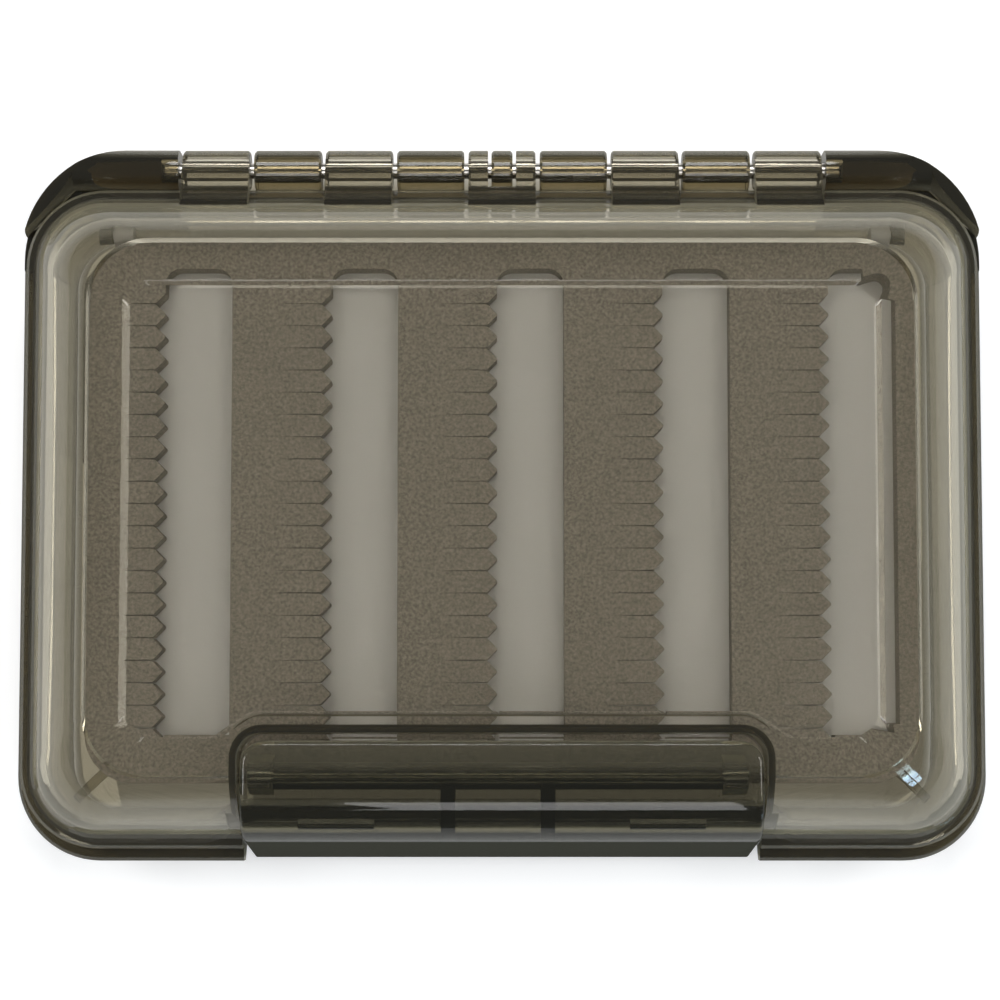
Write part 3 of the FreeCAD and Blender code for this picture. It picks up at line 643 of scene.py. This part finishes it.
class FLYBOX_OT_pins(bpy.types.Operator):
    """Gives both pins drawn stainless wire, the latch pin's painted darker as shade"""

    bl_idname = "flybox.pins"
    bl_label = "Finish pins"

    def execute(self, context):
        for name, dark, light in STEELS_WITH_PAINTED_SHADE:
            material, tree, shader = new_material(name + "_steel")
            shader.inputs["Metallic"].default_value = 1.0
            drawn = noise(tree, DRAWN_SIZE, detail=4.0, stretch=(0.05, 1.0, 1.0))
            tree.links.new(blend_colours(tree, drawn, dark, light), shader.inputs["Base Color"])
            tree.links.new(spread(tree, drawn, 0.18, 0.34), shader.inputs["Roughness"])
            add_bump(tree, shader, drawn, FINE_HEIGHT)
            dress(name, material)
        return {"FINISHED"}


class FLYBOX_OT_seal(bpy.types.Operator):
    """Gives the seal its matt rubber"""

    bl_idname = "flybox.seal"
    bl_label = "Finish seal"

    def execute(self, context):
        material, tree, shader = new_material("seal_rubber")
        grain = noise(tree, SEAL_SIZE, detail=4.0)
        tree.links.new(blend_colours(tree, grain, *SEAL_COLOURS), shader.inputs["Base Color"])
        shader.inputs["Roughness"].default_value = SEAL_ROUGHNESS
        add_bump(tree, shader, grain, SEAL_HEIGHT)
        dress("gasket", material)
        return {"FINISHED"}


class FLYBOX_OT_leaf(bpy.types.Operator):
    """Gives the swing leaf and the glue films their finishes"""

    bl_idname = "flybox.leaf"
    bl_label = "Finish leaf"

    def execute(self, context):
        material, tree, shader = new_material("leaf_plastic")
        cloud = noise(tree, CLOUD_SIZE, detail=3.0)
        tree.links.new(blend_colours(tree, cloud, *LEAF_COLOURS), shader.inputs["Base Color"])
        grain = noise(tree, SATIN_SIZE, detail=3.0)
        tree.links.new(spread(tree, grain, 0.38, 0.5), shader.inputs["Roughness"])
        add_bump(tree, shader, grain, FINE_HEIGHT)
        dress("leaf_plate", material)
        film, tree, shader = new_material("adhesive")
        streak = noise(tree, STREAK_SIZE, detail=4.0, stretch=(0.3, 1.0, 1.0))
        tree.links.new(blend_colours(tree, streak, *FILM_COLOURS), shader.inputs["Base Color"])
        tree.links.new(spread(tree, streak, 0.3, 0.5), shader.inputs["Roughness"])
        for name in ("leaf_adhesive_upper", "leaf_adhesive_lower", "base_foam_adhesive"):
            dress(name, film)
        return {"FINISHED"}


def foam_material(colour):
    """Closed-cell foam: fine speckle with shallow cells."""
    material, tree, shader = new_material("foam")
    speckle = noise(tree, SPECKLE_SIZE, detail=2.0, roughness=0.75)
    dark = tuple(value * SPECKLE_DARK_SHARE for value in colour)
    light = tuple(value * SPECKLE_LIGHT_SHARE for value in colour)
    cells = blend_colours(tree, spread(tree, speckle, 0.0, 1.0), dark, light)
    tree.links.new(cells, shader.inputs["Base Color"])
    shader.inputs["Roughness"].default_value = FOAM_ROUGHNESS
    shader.inputs["Specular IOR Level"].default_value = FOAM_SHINE
    add_bump(tree, shader, speckle, SPECKLE_HEIGHT)
    return material


class FLYBOX_OT_foam(bpy.types.Operator):
    """Cuts the three slit foam sheets"""

    bl_idname = "flybox.foam"
    bl_label = "Make foam sheets"

    def execute(self, context):
        sizes = context.scene.flybox_foam
        material = foam_material(sizes.colour)
        for name, body in (("base_foam", "base"), ("leaf_foam_upper", "leaf"), ("leaf_foam_lower", "leaf")):
            sheet = foam_sheet(name, sizes)
            sheet.data.materials.append(material)
            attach(sheet, body)
            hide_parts(name)
        return {"FINISHED"}


def add_lamp(name, place, aim, size, power, colour=(1.0, 1.0, 1.0)):
    start_clean()
    bpy.ops.object.light_add(type="AREA", location=place)
    lamp = bpy.context.object
    lamp.name = name
    lamp.data.shape = "RECTANGLE"
    lamp.data.size = size
    lamp.data.size_y = size
    lamp.data.energy = power
    lamp.data.color = colour
    lamp.rotation_euler = (Vector(aim) - Vector(place)).to_track_quat("-Z", "Y").to_euler()
    return lamp


def floor_material(glow):
    """White paper that keeps the shadow and glows a little for the eye, mirrors and clear plastic."""
    material, tree, shader = new_material("floor_white")
    shader.inputs["Base Color"].default_value = FLOOR_WHITE
    shader.inputs["Roughness"].default_value = FLOOR_ROUGHNESS
    shader.inputs["Specular IOR Level"].default_value = 0.0
    shader.inputs["Emission Color"].default_value = WHITE
    tree.links.new(seen_directly(tree, glow), shader.inputs["Emission Strength"])
    return material


def seen_directly(tree, strength):
    """The strength for camera, mirror and transmitted rays, and nothing for light that spreads."""
    path = tree.nodes.new("ShaderNodeLightPath")
    total = path.outputs["Is Camera Ray"]
    for name in ("Is Glossy Ray", "Is Transmission Ray"):
        both = tree.nodes.new("ShaderNodeMath")
        both.operation = "MAXIMUM"
        tree.links.new(total, both.inputs[0])
        tree.links.new(path.outputs[name], both.inputs[1])
        total = both.outputs["Value"]
    scaled = tree.nodes.new("ShaderNodeMath")
    scaled.operation = "MULTIPLY"
    scaled.inputs[1].default_value = strength
    tree.links.new(total, scaled.inputs[0])
    return scaled.outputs["Value"]


def add_window(place, aim, pane, gap, power, colour):
    """Four panes of sky, so that the gloss shows a window with its bars."""
    direction = (Vector(aim) - Vector(place)).normalized()
    side = direction.cross(Vector((0.0, 0.0, 1.0))).normalized()
    up = side.cross(direction)
    for column in (-1, 1):
        for row in (-1, 1):
            shift = side * column * (pane + gap) / 2 + up * row * (pane + gap) / 2
            spot = Vector(place) + shift
            add_lamp("window_pane", spot, Vector(aim) + shift, pane, power, colour)


class FLYBOX_OT_stage(bpy.types.Operator):
    """Places the camera, the lamps and the white floor"""

    bl_idname = "flybox.stage"
    bl_label = "Make stage"

    def execute(self, context):
        look = context.scene.flybox_stage
        scene = context.scene
        scene.view_settings.view_transform = "Standard"
        start_clean()
        bpy.ops.mesh.primitive_plane_add(size=FLOOR_SIZE)
        floor = bpy.context.object
        floor.name = "floor"
        floor.data.materials.append(floor_material(look.glow))
        world = bpy.data.worlds.new("room")
        scene.world = world
        world.use_nodes = True
        background = world.node_tree.nodes["Background"]
        background.inputs["Color"].default_value = WHITE
        background.inputs["Strength"].default_value = look.sky
        for name, place, power in SOFT_LAMPS:
            add_lamp(name, place, (0.0, 0.0, 0.0), SOFT_LAMP_SIZE, power)
        add_window(WINDOW_PLACE, WINDOW_AIM, PANE_SIZE, PANE_GAP, PANE_POWER, PANE_BLUE)
        camera_data = bpy.data.cameras.new("camera")
        camera = bpy.data.objects.new("camera", camera_data)
        scene.collection.objects.link(camera)
        camera_data.lens = look.lens
        camera_data.sensor_width = SENSOR_WIDTH
        camera_data.shift_x = SHIFT_X
        camera_data.shift_y = SHIFT_Y
        target = Vector((0.0, 0.0, TARGET_HEIGHT))
        away = Vector((0.0, -math.cos(CAMERA_TILT), math.sin(CAMERA_TILT)))
        camera.location = target + away * CAMERA_DISTANCE
        camera.rotation_euler = (math.radians(90) - CAMERA_TILT, 0.0, 0.0)
        scene.camera = camera
        return {"FINISHED"}


OPERATORS = (
    FLYBOX_OT_case,
    FLYBOX_OT_latch,
    FLYBOX_OT_pins,
    FLYBOX_OT_seal,
    FLYBOX_OT_leaf,
    FLYBOX_OT_foam,
    FLYBOX_OT_stage,
)


class FLYBOX_PT_panel(bpy.types.Panel):
    """Buttons for each group of pieces"""

    bl_label = "Fly box"
    bl_idname = "FLYBOX_PT_panel"
    bl_space_type = "VIEW_3D"
    bl_region_type = "UI"
    bl_category = "Fly box"

    def draw(self, context):
        for operator in OPERATORS:
            self.layout.operator(operator.bl_idname)


SETTINGS = {
    "flybox_case": CaseFinish,
    "flybox_latch": LatchFinish,
    "flybox_foam": FoamSizes,
    "flybox_stage": StageLook,
}


def register():
    for name, group in SETTINGS.items():
        bpy.utils.register_class(group)
        setattr(bpy.types.Scene, name, PointerProperty(type=group))
    for operator in OPERATORS:
        bpy.utils.register_class(operator)
    bpy.utils.register_class(FLYBOX_PT_panel)


def unregister():
    bpy.utils.unregister_class(FLYBOX_PT_panel)
    for operator in reversed(OPERATORS):
        bpy.utils.unregister_class(operator)
    for name, group in SETTINGS.items():
        delattr(bpy.types.Scene, name)
        bpy.utils.unregister_class(group)


def main():
    register()
    bpy.ops.flybox.stage()
    bpy.ops.flybox.case()
    bpy.ops.flybox.latch()
    bpy.ops.flybox.pins()
    bpy.ops.flybox.seal()
    bpy.ops.flybox.leaf()
    bpy.ops.flybox.foam()


if __name__ == "__main__":
    main()
